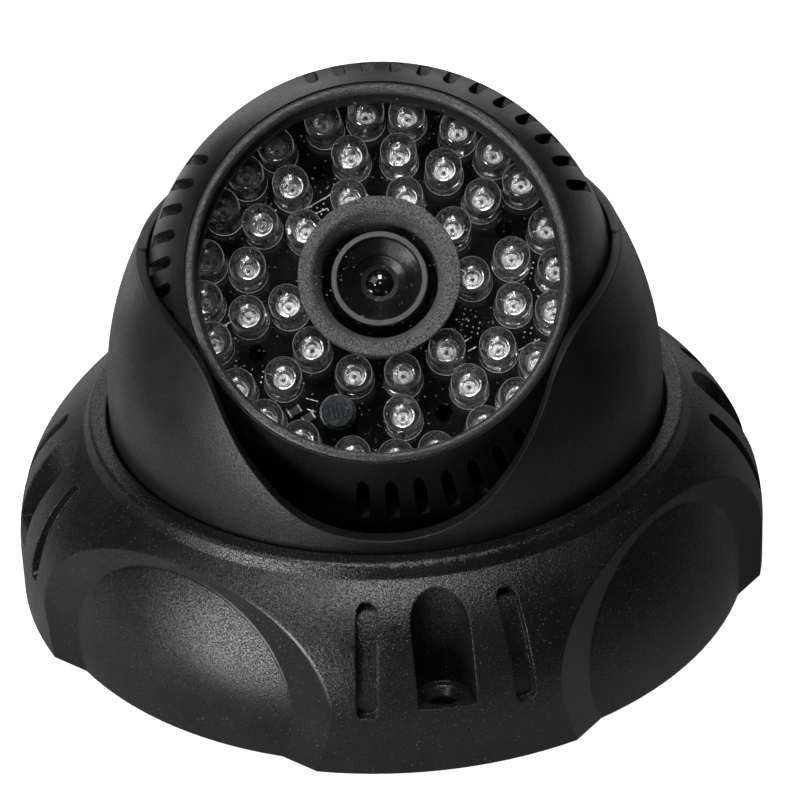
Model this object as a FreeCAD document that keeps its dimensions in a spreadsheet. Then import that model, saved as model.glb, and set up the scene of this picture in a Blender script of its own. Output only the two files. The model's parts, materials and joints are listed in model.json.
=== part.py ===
import FreeCAD, Part
import Sketcher
import math
import os

# Turret dome camera.
# Frame: origin at the centre of the mounting face, +Z out of the mounting surface,
# the camera looks towards -Y at rest.  Parts inside the eyeball are drawn in the ball's
# own frame (origin at the ball centre, +Z along the lens axis) and are placed with the
# rest tilt.  Everything is in millimetres.

Vec = FreeCAD.Vector
doc = FreeCAD.newDocument("TurretDomeCamera")


# ---------------------------------------------------------------- driving dimensions
SIZES = [
    ("gap_fine", 0.05, "clearance between pieces that touch"),
    # base cover
    ("cover_rad", 54.0, "outer radius at the mounting face"),
    ("cover_wall_z", 6.0, "height of the straight wall"),
    ("crease_rad", 43.4, "ring where the shoulder ends"),
    ("crease_z", 24.4, "height of that ring"),
    ("bead_rad", 41.9, "outer edge of the bead's flat top"),
    ("bead_z", 26.3, "top of the bead round the turret"),
    ("bead_bore_rad", 39.95, "bore the turret turns in"),
    ("ceiling_z", 22.2, "underside of the cover's top ring"),
    ("cavity_top_rad", 43.4, "cavity radius under the top ring"),
    ("pillow_foot_rad", 51.7, "convex middle of a scoop, radius at the mounting face"),
    ("pillow_top_rad", 45.8, "radius where the convex middle runs out into the flat"),
    ("pillow_top_z", 21.7, ""),
    ("pillow_round", 36.4, "radius of its upright curve"),
    ("cover_skin", 4.4, "outer surface to cavity"),
    ("scoop_flat_dist", 48.65, "scoop flat to the axis at the mounting face"),
    ("scoop_slope", 7.4, "lean of the scoop flats, degrees"),
    ("screw_azimuth", 7.7, "first fixing pocket, degrees from -Y towards +X"),
    ("fixing_rad", 48.7, "fixing hole circle radius"),
    ("fixing_hole_rad", 1.9, "fixing hole"),
    ("countersink_rad", 2.9, "countersink at the pocket floor"),
    ("countersink_depth", 1.0, ""),
    ("pocket_rad", 4.0, "round back of the fixing pocket"),
    ("pocket_floor_z", 8.0, ""),
    ("pocket_lip_z", 10.0, "low wall across the pocket's mouth"),
    ("pocket_lip_dist", 51.7, "inner side of that low wall"),
    ("pocket_wall", 1.7, "wall round the pocket"),
    ("groove_offset", 11.6, "grip grooves beside each pocket, degrees"),
    ("groove_width", 2.9, ""),
    ("groove_depth", 1.3, ""),
    ("groove_low_z", 9.0, ""),
    ("groove_high_z", 22.5, ""),
    ("groove_corner", 1.1, ""),
    # base plate and fixings inside the base
    ("plate_rad", 49.2, ""),
    ("plate_low_z", 1.6, "recessed behind the mounting face"),
    ("plate_thick", 1.8, ""),
    ("plate_notch_rad", 6.1, "clears the pocket walls"),
    ("outlet_rad", 7.0, "cable outlet in the base plate"),
    ("plate_screw_circle", 46.2, ""),
    ("plate_boss_rad", 2.9, ""),
    ("support_in_rad", 40.4, "ring that holds the turret up against the cover"),
    ("support_out_rad", 42.7, ""),
    ("washer_thick", 0.7, "pan friction ring"),
    # turret
    ("turret_rad", 39.55, "straight neck of the turret"),
    ("turret_neck_z", 28.8, "top of the straight neck"),
    ("turret_top_rad", 33.6, "radius at the ears' top"),
    ("turret_top_z", 52.0, ""),
    ("turret_wall", 2.0, ""),
    ("flange_rad", 42.7, ""),
    ("flange_low_z", 20.0, ""),
    ("flange_high_z", 22.0, ""),
    ("opening_low_z", 27.9, "lowest point of the front opening"),
    ("ear_rad", 5.2, "thickened ear round the pivot"),
    ("rim_round", 0.7, "rounding of the opening's rim"),
    # ball
    ("ball_rad", 33.5, ""),
    ("ball_z", 42.0, "tilt axis above the mounting face"),
    ("ball_tilt", 47.8, "lens axis from vertical at rest, degrees"),
    ("ball_clear", 0.35, "ball to turret"),
    ("ball_wall", 2.2, ""),
    ("pivot_rad", 2.0, ""),
    ("pivot_clear", 0.05, ""),
    ("seam_h", 4.0, "seam between the ball's two shells"),
    ("spigot_top_h", 12.0, "inner collar of the rear shell"),
    ("spigot_thick", 1.2, ""),
    ("bezel_out_rad", 26.4, "ring round the window"),
    ("bezel_in_rad", 24.9, ""),
    ("bezel_seat_h", 17.9, ""),
    ("bezel_crest_h", 20.75, ""),
    ("bezel_lip_h", 19.7, "inner edge of the ring"),
    ("slot_near", 28.4, "vent slots, rounded end"),
    ("slot_far", 32.2, "vent slots, square end"),
    ("slot_width", 1.75, ""),
    ("slot_floor_h", 9.0, ""),
    ("slot_pitch", 7.5, "degrees"),
    ("slot_first", 23.8, "degrees"),
    ("glass_rad", 25.85, ""),
    ("glass_top_h", 19.35, ""),
    ("glass_thick", 2.0, ""),
    ("seal_in_rad", 24.6, ""),
    ("seal_thick", 0.8, ""),
    ("seat_h", 16.4, "ledge the window seal sits on"),
    # circuit boards, lamps and lens
    ("board_rad", 27.15, ""),
    ("board_top_h", 6.1, ""),
    ("board_thick", 1.6, ""),
    ("board_bore_rad", 8.9, ""),
    ("post_circle", 19.25, ""),
    ("post_hole_rad", 1.2, ""),
    ("post_first", 24.8, "degrees"),
    ("lamp_rad", 2.5, "5 mm lamp"),
    ("lamp_flange_rad", 2.78, ""),
    ("lamp_flange_h", 1.0, ""),
    ("lamp_height", 8.6, ""),
    ("cup_rad", 1.9, ""),
    ("ring_outer", 24.3, "lamp rings"),
    ("ring_middle", 18.6, ""),
    ("ring_inner", 12.9, ""),
    ("sleeve_rad", 3.15, "light sensor"),
    ("cell_rad", 2.5, ""),
    ("shield_out_rad", 11.1, "foam light shield round the lens"),
    ("shield_in_rad", 8.0, ""),
    ("shield_tube_rad", 9.6, ""),
    ("shield_flange_low", 15.3, ""),
    ("shield_seat_rad", 9.3, "inside this the foam slopes back from the glass"),
    ("shield_slope_drop", 0.75, ""),
    ("lens_head_rad", 6.7, ""),
    ("lens_front_h", 15.3, ""),
    ("lens_head_low", 5.4, ""),
    ("lens_thread_rad", 6.0, "M12 x 0.5 thread, drawn plain"),
    ("lens_low_h", -5.0, ""),
    ("holder_rad", 7.8, ""),
    ("holder_top_h", 2.4, ""),
    ("holder_low_h", -7.9, ""),
    ("sensor_top_h", -8.0, "sensor board"),
    ("sensor_side", 36.0, ""),
    ("sensor_thick", 1.6, ""),
    ("cable_rad", 2.2, ""),
    ("tail_angle", 30.0, "tail cable from the lens axis, degrees"),
]

sheet = doc.addObject("Spreadsheet::Sheet", "Sizes")
for row, (word, number, note) in enumerate(SIZES, start=1):
    sheet.set("A%d" % row, word)
    sheet.set("B%d" % row, str(number))
    sheet.set("C%d" % row, note)
    sheet.setAlias("B%d" % row, word)
doc.recompute()


class Dim:
    """A number that remembers the formula it came from, so it can drive an expression."""

    def __init__(self, value, text=None):
        self.value = float(value)
        self.text = text if text is not None else repr(float(value))

    def _join(self, other, sign, value):
        return Dim(value, "(%s %s %s)" % (self.text, sign, dim(other).text))

    def __add__(self, other):
        return self._join(other, "+", self.value + dim(other).value)

    def __sub__(self, other):
        return self._join(other, "-", self.value - dim(other).value)

    def __mul__(self, other):
        return self._join(other, "*", self.value * dim(other).value)

    def __truediv__(self, other):
        return self._join(other, "/", self.value / dim(other).value)

    def __neg__(self):
        return Dim(-self.value, "(0 - %s)" % self.text)

    def __radd__(self, other):
        return dim(other) + self

    def __rsub__(self, other):
        return dim(other) - self

    def __rmul__(self, other):
        return dim(other) * self


def dim(value):
    return value if isinstance(value, Dim) else Dim(value)


def root(value):
    return Dim(math.sqrt(value.value), "sqrt(%s)" % value.text)


def side(hypotenuse, leg):
    """Other leg of a right triangle: the radius of a sphere's slice at a height."""
    return root(hypotenuse * hypotenuse - leg * leg)


class Book:
    """Reads a cell of the sheet by its alias."""

    def __getattr__(self, word):
        return Dim(sheet.get(word), "Sizes." + word)


S = Book()
kept = {}


def keep(node, thing):
    thing.Label = node
    kept[node] = thing
    return thing


def bind(thing, prop, value):
    value = dim(value)
    setattr(thing, prop, value.value)
    thing.setExpression(prop, value.text)


# ---------------------------------------------------------------- placements
def in_ball(thing):
    """Put a piece drawn in the ball's frame where the ball is at rest."""
    turn = FreeCAD.Rotation(Vec(1, 0, 0), S.ball_tilt.value)
    thing.Placement = FreeCAD.Placement(Vec(0, 0, S.ball_z.value), turn)
    thing.setExpression(".Placement.Base.z", S.ball_z.text)
    thing.setExpression(".Placement.Rotation.Angle", S.ball_tilt.text)
    return thing


def spot(radius, degrees, height=0.0):
    angle = math.radians(degrees)
    return Vec(radius * math.cos(angle), radius * math.sin(angle), height)


def base_direction(azimuth):
    """Unit vector in the base at an azimuth counted from -Y towards +X."""
    angle = math.radians(azimuth)
    return Vec(math.sin(angle), -math.cos(angle), 0)


# ---------------------------------------------------------------- sketches and bodies
def origin_plane(body, role):
    for feature in body.Origin.OriginFeatures:
        if feature.Role == role:
            return feature
    raise ValueError(role)


def new_sketch(body, name, role):
    sketch = body.newObject("Sketcher::SketchObject", name)
    sketch.AttachmentSupport = [(origin_plane(body, role), "")]
    sketch.MapMode = "FlatFace"
    return sketch


def pin_point(sketch, geo, end, point):
    """Fix one end of an edge at a point whose coordinates are dimensions."""
    for axis, value, line in (("DistanceX", point[0], -2), ("DistanceY", point[1], -1)):
        value = dim(value)
        if abs(value.value) < 1e-9:
            sketch.addConstraint(Sketcher.Constraint("PointOnObject", geo, end, line))
            continue
        index = sketch.addConstraint(Sketcher.Constraint(axis, -1, 1, geo, end, value.value))
        sketch.setExpression("Constraints[%d]" % index, value.text)


def outline(sketch, points):
    """Closed outline.  A point is (x, y) for a straight edge to the next point, or
    (x, y, radius, side) for an arc that bulges to that side (+1 left, -1 right)."""
    count = len(points)
    flat = [Vec(dim(p[0]).value, dim(p[1]).value, 0) for p in points]
    forward = []
    for number, point in enumerate(points):
        here, there = flat[number], flat[(number + 1) % count]
        if len(point) == 2:
            sketch.addGeometry(Part.LineSegment(here, there), False)
            forward.append(True)
            continue
        radius = dim(point[2]).value
        along = there - here
        normal = Vec(-along.y, along.x, 0).normalize()
        half = along.Length / 2
        centre = (here + there) * 0.5 - normal * (point[3] * math.sqrt(radius * radius - half * half))
        # Sketcher keeps arcs anticlockwise, so one that bulges left runs backwards.
        ahead = point[3] < 0
        begin, end = (here, there) if ahead else (there, here)
        first_angle = math.atan2(begin.y - centre.y, begin.x - centre.x)
        last_angle = math.atan2(end.y - centre.y, end.x - centre.x)
        if last_angle < first_angle:
            last_angle += 2 * math.pi
        ring = Part.Circle(centre, Vec(0, 0, 1), radius)
        sketch.addGeometry(Part.ArcOfCircle(ring, first_angle, last_angle), False)
        forward.append(ahead)
    for number, point in enumerate(points):
        first, last = (1, 2) if forward[number] else (2, 1)
        after = (number + 1) % count
        after_first = 1 if forward[after] else 2
        pin_point(sketch, number, first, point)
        sketch.addConstraint(Sketcher.Constraint("Coincident", number, last, after, after_first))
        if len(point) > 2:
            radius = dim(point[2])
            index = sketch.addConstraint(Sketcher.Constraint("Radius", number, radius.value))
            sketch.setExpression("Constraints[%d]" % index, radius.text)


def circle(sketch, x, y, radius):
    x, y, radius = dim(x), dim(y), dim(radius)
    geo = sketch.addGeometry(Part.Circle(Vec(x.value, y.value, 0), Vec(0, 0, 1), radius.value), False)
    pin_point(sketch, geo, 3, (x, y))
    index = sketch.addConstraint(Sketcher.Constraint("Radius", geo, radius.value))
    sketch.setExpression("Constraints[%d]" % index, radius.text)


def turned(name, points):
    """A body turned about Z from an outline in the XZ plane."""
    body = doc.addObject("PartDesign::Body", name)
    sketch = new_sketch(body, name + "_outline", "XZ_Plane")
    outline(sketch, points)
    feature = body.newObject("PartDesign::Revolution", name + "_turn")
    feature.Profile = (sketch, [""])
    feature.ReferenceAxis = (sketch, ["V_Axis"])
    feature.Angle = 360
    body.Tip = feature
    doc.recompute()
    return body


def pad(body, name, draw, low, thick, role="XY_Plane"):
    """Pad a sketch drawn by a function upwards from a height."""
    sketch = new_sketch(body, name + "_sketch", role)
    draw(sketch)
    low, thick = dim(low), dim(thick)
    sketch.AttachmentOffset = FreeCAD.Placement(Vec(0, 0, low.value), FreeCAD.Rotation())
    sketch.setExpression(".AttachmentOffset.Base.z", low.text)
    feature = body.newObject("PartDesign::Pad", name)
    feature.Profile = (sketch, [""])
    bind(feature, "Length", thick)
    body.Tip = feature
    doc.recompute()
    return feature


def cut_through(body, name, draw, high, depth, polar=None):
    """Pocket downwards from a height; the loss of volume is checked."""
    before = body.Shape.Volume
    sketch = new_sketch(body, name + "_sketch", "XY_Plane")
    draw(sketch)
    high, depth = dim(high), dim(depth)
    sketch.AttachmentOffset = FreeCAD.Placement(Vec(0, 0, high.value), FreeCAD.Rotation())
    sketch.setExpression(".AttachmentOffset.Base.z", high.text)
    feature = body.newObject("PartDesign::Pocket", name)
    feature.Profile = (sketch, [""])
    bind(feature, "Length", depth)
    body.Tip = feature
    doc.recompute()
    if polar:
        pattern = body.newObject("PartDesign::PolarPattern", name + "_around")
        pattern.Originals = [feature]
        pattern.Axis = (sketch, ["N_Axis"])
        pattern.Angle = 360
        pattern.Occurrences = polar
        body.Tip = pattern
        doc.recompute()
    if body.Shape.Volume >= before - 1e-6:
        raise RuntimeError("%s removed nothing" % name)
    return feature


def rod(name, radius, length, base=Vec(0, 0, 0), direction=Vec(0, 0, 1)):
    thing = doc.addObject("Part::Cylinder", name)
    bind(thing, "Radius", radius)
    bind(thing, "Height", length)
    thing.Placement = FreeCAD.Placement(base, FreeCAD.Rotation(Vec(0, 0, 1), direction))
    return thing


def box(name, length, width, height, placement):
    thing = doc.addObject("Part::Box", name)
    bind(thing, "Length", length)
    bind(thing, "Width", width)
    bind(thing, "Height", height)
    thing.Placement = placement
    return thing


def ball_tool(name, radius):
    thing = doc.addObject("Part::Sphere", name)
    bind(thing, "Radius", radius)
    thing.Placement = FreeCAD.Placement(Vec(0, 0, S.ball_z.value), FreeCAD.Rotation())
    thing.setExpression(".Placement.Base.z", S.ball_z.text)
    return thing


def fuse(name, things):
    result = doc.addObject("Part::MultiFuse", name)
    result.Shapes = things
    doc.recompute()
    return result


def common(name, things):
    result = doc.addObject("Part::MultiCommon", name)
    result.Shapes = things
    doc.recompute()
    return result


def cut(name, base, tool):
    """Part::Cut whose effect is checked."""
    doc.recompute()
    before = base.Shape.Volume
    result = doc.addObject("Part::Cut", name)
    result.Base = base
    result.Tool = tool
    doc.recompute()
    if result.Shape.Volume >= before - 1e-6:
        raise RuntimeError("%s removed nothing" % name)
    return result


def from_code(name, shape, ball=False):
    """A feature whose shape is made here, for repeated or free-form solids."""
    thing = doc.addObject("Part::Feature", name)
    thing.Shape = shape
    if ball:
        in_ball(thing)
    return thing


def copies(shape, places):
    """The same solid at several places."""
    solids = []
    for place in places:
        solid = shape.copy()
        solid.Placement = place.multiply(solid.Placement)
        solids.extend(solid.Solids)
    return Part.makeCompound(solids)


def at(vector, rotation=None):
    return FreeCAD.Placement(vector, rotation or FreeCAD.Rotation())


def spin_solid(points):
    """A solid turned about Z from straight-edged (radius, height) pairs."""
    wire = Part.makePolygon([Vec(r, 0, z) for r, z in points] + [Vec(points[0][0], 0, points[0][1])])
    solid = Part.Face(wire).revolve(Vec(0, 0, 0), Vec(0, 0, 1), 360)
    if solid.Volume < 0:
        solid.reverse()
    return solid


QUARTERS = (0, 90, 180, 270)
fixing_azimuths = [S.screw_azimuth.value + q for q in QUARTERS]
scoop_azimuths = [S.screw_azimuth.value + 45 + q for q in QUARTERS]


# ================================================================ base cover
shoulder = ((S.cover_rad - S.crease_rad) * (S.cover_rad - S.crease_rad)
            + (S.crease_z - S.cover_wall_z) * (S.crease_z - S.cover_wall_z)) / (
    2 * (S.cover_rad - S.crease_rad))
shoulder_x = S.cover_rad - shoulder


def shoulder_point(inset, radius):
    """Height at which the shoulder, moved inwards by an inset, has a radius."""
    return S.cover_wall_z + side(shoulder - inset, radius - shoulder_x)


def dome(name, inset, top_rad):
    return turned(name, [
        (0, 0),
        (S.cover_rad - inset, 0),
        (S.cover_rad - inset, S.cover_wall_z, shoulder - inset, -1),
        (top_rad, shoulder_point(inset, top_rad)),
        (0, shoulder_point(inset, top_rad)),
    ])


cover_dome = turned("cover_dome", [
    (0, 0),
    (S.cover_rad, 0),
    (S.cover_rad, S.cover_wall_z, shoulder, -1),
    (S.crease_rad, S.crease_z),
    (S.bead_rad + 0.9, S.bead_z - 0.75, 0.95, -1),
    (S.bead_rad, S.bead_z),
    (S.bead_bore_rad + 0.3, S.bead_z, 0.35, -1),
    (S.bead_bore_rad, S.bead_z - 0.3),
    (0, S.bead_z - 0.3),
])
cover_pillow = turned("cover_pillow", [
    (0, 0), (S.pillow_foot_rad, 0, S.pillow_round, -1),
    (S.pillow_top_rad, S.pillow_top_z), (0, S.pillow_top_z)])
cover_cavity = turned("cover_cavity", [
    (0, -1),
    (S.cover_rad - S.cover_skin, -1),
    (S.cover_rad - S.cover_skin, S.cover_wall_z, shoulder - S.cover_skin, -1),
    (S.cavity_top_rad, shoulder_point(S.cover_skin, S.cavity_top_rad)),
    (S.cavity_top_rad, S.ceiling_z),
    (S.bead_bore_rad, S.ceiling_z),
    (S.bead_bore_rad, S.bead_z + 2),
    (0, S.bead_z + 2),
])

# Four flats lean inwards and cut the dome; the inset dome stands out of each as a pillow.
flats = []
for number, azimuth in enumerate(scoop_azimuths):
    outward = base_direction(azimuth)
    flat = doc.addObject("Part::Box", "scoop_flat_%d" % number)
    flat.Length = 80
    flat.Width = 30
    flat.Height = 60
    turn = FreeCAD.Rotation(Vec(0, 0, 1), azimuth - 180).multiply(
        FreeCAD.Rotation(Vec(1, 0, 0), S.scoop_slope.value))
    corner = turn.multVec(Vec(-40, 0, -10))
    flat.Placement = FreeCAD.Placement(outward * S.scoop_flat_dist.value + corner, turn)
    flats.append(flat)
flats_tool = fuse("scoop_flats", flats)
cover_cut = cut("cover_scooped", cover_dome, flats_tool)
cover_solid = fuse("cover_outer", [cover_cut, cover_pillow])
cover_hollow = cut("cover_hollow", cover_solid, cover_cavity)


def radial_slab(name, azimuth, near, far, half, low, high):
    """Upright block reaching outwards along an azimuth."""
    outward = base_direction(azimuth)
    turn = FreeCAD.Rotation(Vec(1, 0, 0), outward)
    sideways = turn.multVec(Vec(0, 1, 0))
    start = outward * near - sideways * half + Vec(0, 0, low)
    thing = doc.addObject("Part::Box", name)
    thing.Length = far - near
    thing.Width = 2 * half
    thing.Height = high - low
    thing.Placement = FreeCAD.Placement(start, turn)
    return thing


walls = []
pockets = []
for number, azimuth in enumerate(fixing_azimuths):
    outward = base_direction(azimuth)
    centre = outward * S.fixing_rad.value
    wall = S.pocket_rad.value + S.pocket_wall.value
    walls.append(rod("pocket_wall_%d" % number, S.pocket_rad + S.pocket_wall, S.bead_z, centre))
    walls.append(radial_slab("pocket_side_%d" % number, azimuth, S.fixing_rad.value, 60, wall, 0, 26))
    floor = S.pocket_floor_z.value
    pockets.append(rod("pocket_round_%d" % number, S.pocket_rad, 30, centre + Vec(0, 0, floor)))
    pockets.append(radial_slab("pocket_low_%d" % number, azimuth, S.fixing_rad.value,
                               S.pocket_lip_dist.value, S.pocket_rad.value, floor, 20))
    pockets.append(radial_slab("pocket_mouth_%d" % number, azimuth, S.fixing_rad.value,
                               70, S.pocket_rad.value, S.pocket_lip_z.value, 40))
    pockets.append(rod("fixing_hole_%d" % number, S.fixing_hole_rad, 20, centre - Vec(0, 0, 5)))
    sink = doc.addObject("Part::Cone", "fixing_sink_%d" % number)
    bind(sink, "Radius1", S.fixing_hole_rad)
    bind(sink, "Radius2", S.countersink_rad)
    bind(sink, "Height", S.countersink_depth)
    sink.Placement = at(centre + Vec(0, 0, floor - S.countersink_depth.value))
    pockets.append(sink)
walls_tool = fuse("pocket_walls", walls)
walls_inside = common("pocket_walls_inside", [walls_tool, cover_solid])
cover_walled = fuse("cover_with_walls", [cover_hollow, walls_inside])

# Bosses for the base plate's screws.
bosses = []
boss_holes = []
PLATE_SCREWS = [S.screw_azimuth.value + 45 + 120 * n for n in range(3)]
for number, azimuth in enumerate(PLATE_SCREWS):
    centre = base_direction(azimuth) * S.plate_screw_circle.value
    bosses.append(rod("plate_boss_%d" % number, S.plate_boss_rad, 14, centre + Vec(0, 0, 3.5)))
    boss_holes.append(rod("plate_boss_hole_%d" % number, 1.05, 10, centre))
boss_body = common("bosses_inside", [fuse("bosses", bosses), cover_solid])
cover_bossed = fuse("cover_bossed", [cover_walled, boss_body])

# Grip grooves: shallow, round-cornered, following the shoulder.
groove_band = cut("groove_band", dome("groove_outer", -1.5, S.crease_rad - 1),
                  dome("groove_inner", S.groove_depth, S.crease_rad - 1.5))
groove_shapes = []
for azimuth in fixing_azimuths:
    for way in (-1, 1):
        turned_by = azimuth + way * S.groove_offset.value
        half = S.groove_width.value / 2
        slab = Part.makeBox(40, 2 * half, S.groove_high_z.value - S.groove_low_z.value,
                            Vec(30, -half, S.groove_low_z.value))
        upright = [edge for edge in slab.Edges
                   if abs(edge.Vertexes[0].Y - edge.Vertexes[1].Y) < 1e-6
                   and abs(edge.Vertexes[0].Z - edge.Vertexes[1].Z) < 1e-6]
        slab = slab.makeFillet(S.groove_corner.value, upright)
        slab.Placement = FreeCAD.Placement(Vec(), FreeCAD.Rotation(Vec(1, 0, 0), base_direction(turned_by)))
        groove_shapes.append(slab)
groove_slabs = from_code("groove_slabs", Part.makeCompound(groove_shapes))
grooves = common("grooves", [groove_slabs, groove_band])
pocket_tool = fuse("pocket_tool", pockets + boss_holes)
cover_pocketed = cut("cover_pocketed", cover_bossed, pocket_tool)
base_cover = keep("base_cover", cut("base_cover", cover_pocketed, grooves))

# ================================================================ inside the base
plate_body = doc.addObject("PartDesign::Body", "base_plate")
pad(plate_body, "plate_disc", lambda sk: (circle(sk, 0, 0, S.plate_rad), circle(sk, 0, 0, S.outlet_rad)),
    S.plate_low_z, S.plate_thick)
notch = base_direction(S.screw_azimuth.value)
reach = S.fixing_rad.value
cut_through(plate_body, "plate_notch",
            lambda sk: circle(sk, notch.x * reach, notch.y * reach, S.plate_notch_rad),
            S.plate_low_z + S.plate_thick + 1, 6, polar=4)
lone = base_direction(PLATE_SCREWS[0])
far = S.plate_screw_circle.value
cut_through(plate_body, "plate_screw_hole", lambda sk: circle(sk, lone.x * far, lone.y * far, 1.3),
            S.plate_low_z + S.plate_thick + 1, 6, polar=3)
base_plate = keep("base_plate", plate_body)


def screw_shape(shank_rad, shank, head_rad, head, drive=0.9, depth=0.6):
    """Pan-head screw: head at z from 0 to +head, shank downwards, cross recess."""
    blank = spin_solid([(0, -shank), (shank_rad * 0.7, -shank), (shank_rad, -shank + shank_rad * 0.6),
                        (shank_rad, 0), (head_rad, 0), (head_rad, head * 0.55),
                        (head_rad * 0.8, head), (0, head)])
    for turn in (0, 90):
        slot = Part.makeBox(2 * drive, 0.5, depth + 0.1, Vec(-drive, -0.25, head - depth))
        slot.rotate(Vec(), Vec(0, 0, 1), turn)
        blank = blank.cut(slot)
    return blank


turn_over = FreeCAD.Rotation(Vec(1, 0, 0), 180)
plate_screw = screw_shape(1.0, 7.0, 2.2, 1.2)
plate_places = [at(base_direction(a) * far + Vec(0, 0, S.plate_low_z.value - 0.02), turn_over)
                for a in PLATE_SCREWS]
plate_screws = keep("plate_screws", from_code("plate_screws", copies(plate_screw, plate_places)))

plate_top = S.plate_low_z + S.plate_thick
support_top = S.flange_low_z - S.washer_thick - 2 * S.gap_fine
support = turned("turret_support_ring", [
    (S.support_in_rad, plate_top + S.gap_fine),
    (S.support_out_rad, plate_top + S.gap_fine),
    (S.support_out_rad, support_top),
    (S.support_in_rad - 2.4, support_top),
    (S.support_in_rad - 2.4, support_top - 1.6),
    (S.support_in_rad, support_top - 1.6),
])
keep("turret_support_ring", support)
friction = turned("pan_friction_ring", [
    (S.support_in_rad - 2.2, support_top + S.gap_fine),
    (S.support_out_rad - 0.4, support_top + S.gap_fine),
    (S.support_out_rad - 0.4, S.flange_low_z - S.gap_fine),
    (S.support_in_rad - 2.2, S.flange_low_z - S.gap_fine),
])
keep("pan_friction_ring", friction)

# ================================================================ turret
bulge = ((S.turret_rad - S.turret_top_rad) * (S.turret_rad - S.turret_top_rad)
         + (S.turret_top_z - S.turret_neck_z) * (S.turret_top_z - S.turret_neck_z)) / (
    2 * (S.turret_rad - S.turret_top_rad))
bulge_x = S.turret_rad - bulge
shoulder_top = bulge_x + side(bulge, S.turret_top_z - S.rim_round - S.turret_neck_z)
inner_top = bulge_x + side(bulge - S.turret_wall, S.turret_top_z - S.turret_neck_z)
turret_blank = turned("turret_blank", [
    (S.turret_rad - S.turret_wall, S.flange_low_z),
    (S.flange_rad, S.flange_low_z),
    (S.flange_rad, S.flange_high_z),
    (S.turret_rad, S.flange_high_z),
    (S.turret_rad, S.turret_neck_z, bulge, -1),
    (shoulder_top, S.turret_top_z - S.rim_round, S.rim_round + 0.01, -1),
    (shoulder_top - S.rim_round, S.turret_top_z),
    (inner_top, S.turret_top_z, bulge - S.turret_wall, 1),
    (S.turret_rad - S.turret_wall, S.turret_neck_z),
])
turret_full = turned("turret_full", [
    (0, S.turret_neck_z),
    (S.turret_rad, S.turret_neck_z, bulge, -1),
    (S.turret_top_rad, S.turret_top_z),
    (0, S.turret_top_z),
])
axis_high = Vec(0, 0, S.ball_z.value)
ears = common("ears", [
    fuse("ear_rods", [rod("ear_right", S.ear_rad, 20, axis_high + Vec(30, 0, 0), Vec(1, 0, 0)),
                      rod("ear_left", S.ear_rad, 20, axis_high - Vec(30, 0, 0), Vec(-1, 0, 0))]),
    turret_full,
])
turret_eared = cut("turret_eared", fuse("turret_solid", [turret_blank, ears]),
                   ball_tool("ball_room", S.ball_rad + S.ball_clear))


def opening_shape():
    """Front opening seen along Y: a deep U whose sides sweep out to the ears."""
    top = S.turret_top_z.value
    low = S.opening_low_z.value
    half = [(0, low), (6.4, low + 0.75), (12.0, low + 3.1), (16.2, low + 6.9), (19.3, low + 10.9),
            (22.0, low + 16.0), (24.2, low + 19.9), (27.6, low + 22.35), (31.0, low + 23.3),
            (S.turret_top_rad.value + 0.5, top + 0.15)]
    points = [Vec(-x, 0, z) for x, z in reversed(half[1:])] + [Vec(x, 0, z) for x, z in half]
    curve = Part.BSplineCurve()
    curve.interpolate(points)
    right, left = points[-1], points[0]
    lid = [right, right + Vec(20, 0, 0), right + Vec(20, 0, 40), left + Vec(-20, 0, 40),
           left + Vec(-20, 0, 0), left]
    edges = [curve.toShape()] + [Part.makeLine(a, b) for a, b in zip(lid[:-1], lid[1:])]
    return Part.Face(Part.Wire(edges)).extrude(Vec(0, -70, 0))


turret_open = cut("turret_open", turret_eared, from_code("turret_opening", opening_shape()))
bores = fuse("pivot_bores", [
    rod("pivot_bore_right", S.pivot_rad + S.pivot_clear, 5.2, axis_high + Vec(31, 0, 0), Vec(1, 0, 0)),
    rod("pivot_bore_left", S.pivot_rad + S.pivot_clear, 5.2, axis_high - Vec(31, 0, 0), Vec(-1, 0, 0))])
turret_bored = cut("turret_bored", turret_open, bores)


turret_shell = keep("turret_shell", turret_bored)

# ================================================================ ball shells
ball_in = S.ball_rad - S.ball_wall
crease_h = side(S.ball_rad, S.bezel_out_rad)


def on_ball(radius, height):
    return side(radius, height)


ledge_low = S.seat_h - 0.9
front_ring = turned("front_ring_blank", [
    (on_ball(ball_in, S.seam_h), S.seam_h),
    (on_ball(S.ball_rad, S.seam_h), S.seam_h, S.ball_rad, -1),
    (S.bezel_out_rad, crease_h),
    (S.bezel_out_rad, S.bezel_seat_h),
    (S.glass_rad + 0.1, S.bezel_seat_h),
    (S.glass_rad + 0.1, S.seat_h),
    (S.seal_in_rad, S.seat_h),
    (S.seal_in_rad, ledge_low),
    (on_ball(ball_in, ledge_low), ledge_low, ball_in, 1),
])
slot_shapes = []
half_slot = S.slot_width.value / 2
near_end = S.slot_near.value + half_slot
for group in range(3):
    for number in range(12):
        angle = S.slot_first.value + 120 * group + S.slot_pitch.value * number
        high = 30 - S.slot_floor_h.value
        tool = Part.makeCylinder(half_slot, high, Vec(near_end, 0, S.slot_floor_h.value))
        straight = Part.makeBox(S.slot_far.value - near_end, 2 * half_slot, high,
                                Vec(near_end, -half_slot, S.slot_floor_h.value))
        tool = tool.fuse(straight)
        tool.rotate(Vec(), Vec(0, 0, 1), angle)
        slot_shapes.append(tool)
vents = from_code("vent_slots", Part.makeCompound(slot_shapes))
SCREW_ANGLES = (15.0, 125.0, 245.0)
SCREW_RING = 28.85
bosses_front = fuse("front_bosses", [
    rod("front_boss_%d" % n, 1.6, 6.5, spot(SCREW_RING, a, S.seam_h.value + 0.6))
    for n, a in enumerate(SCREW_ANGLES)] + [front_ring])
front_vented = cut("front_vented", bosses_front, vents)
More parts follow.
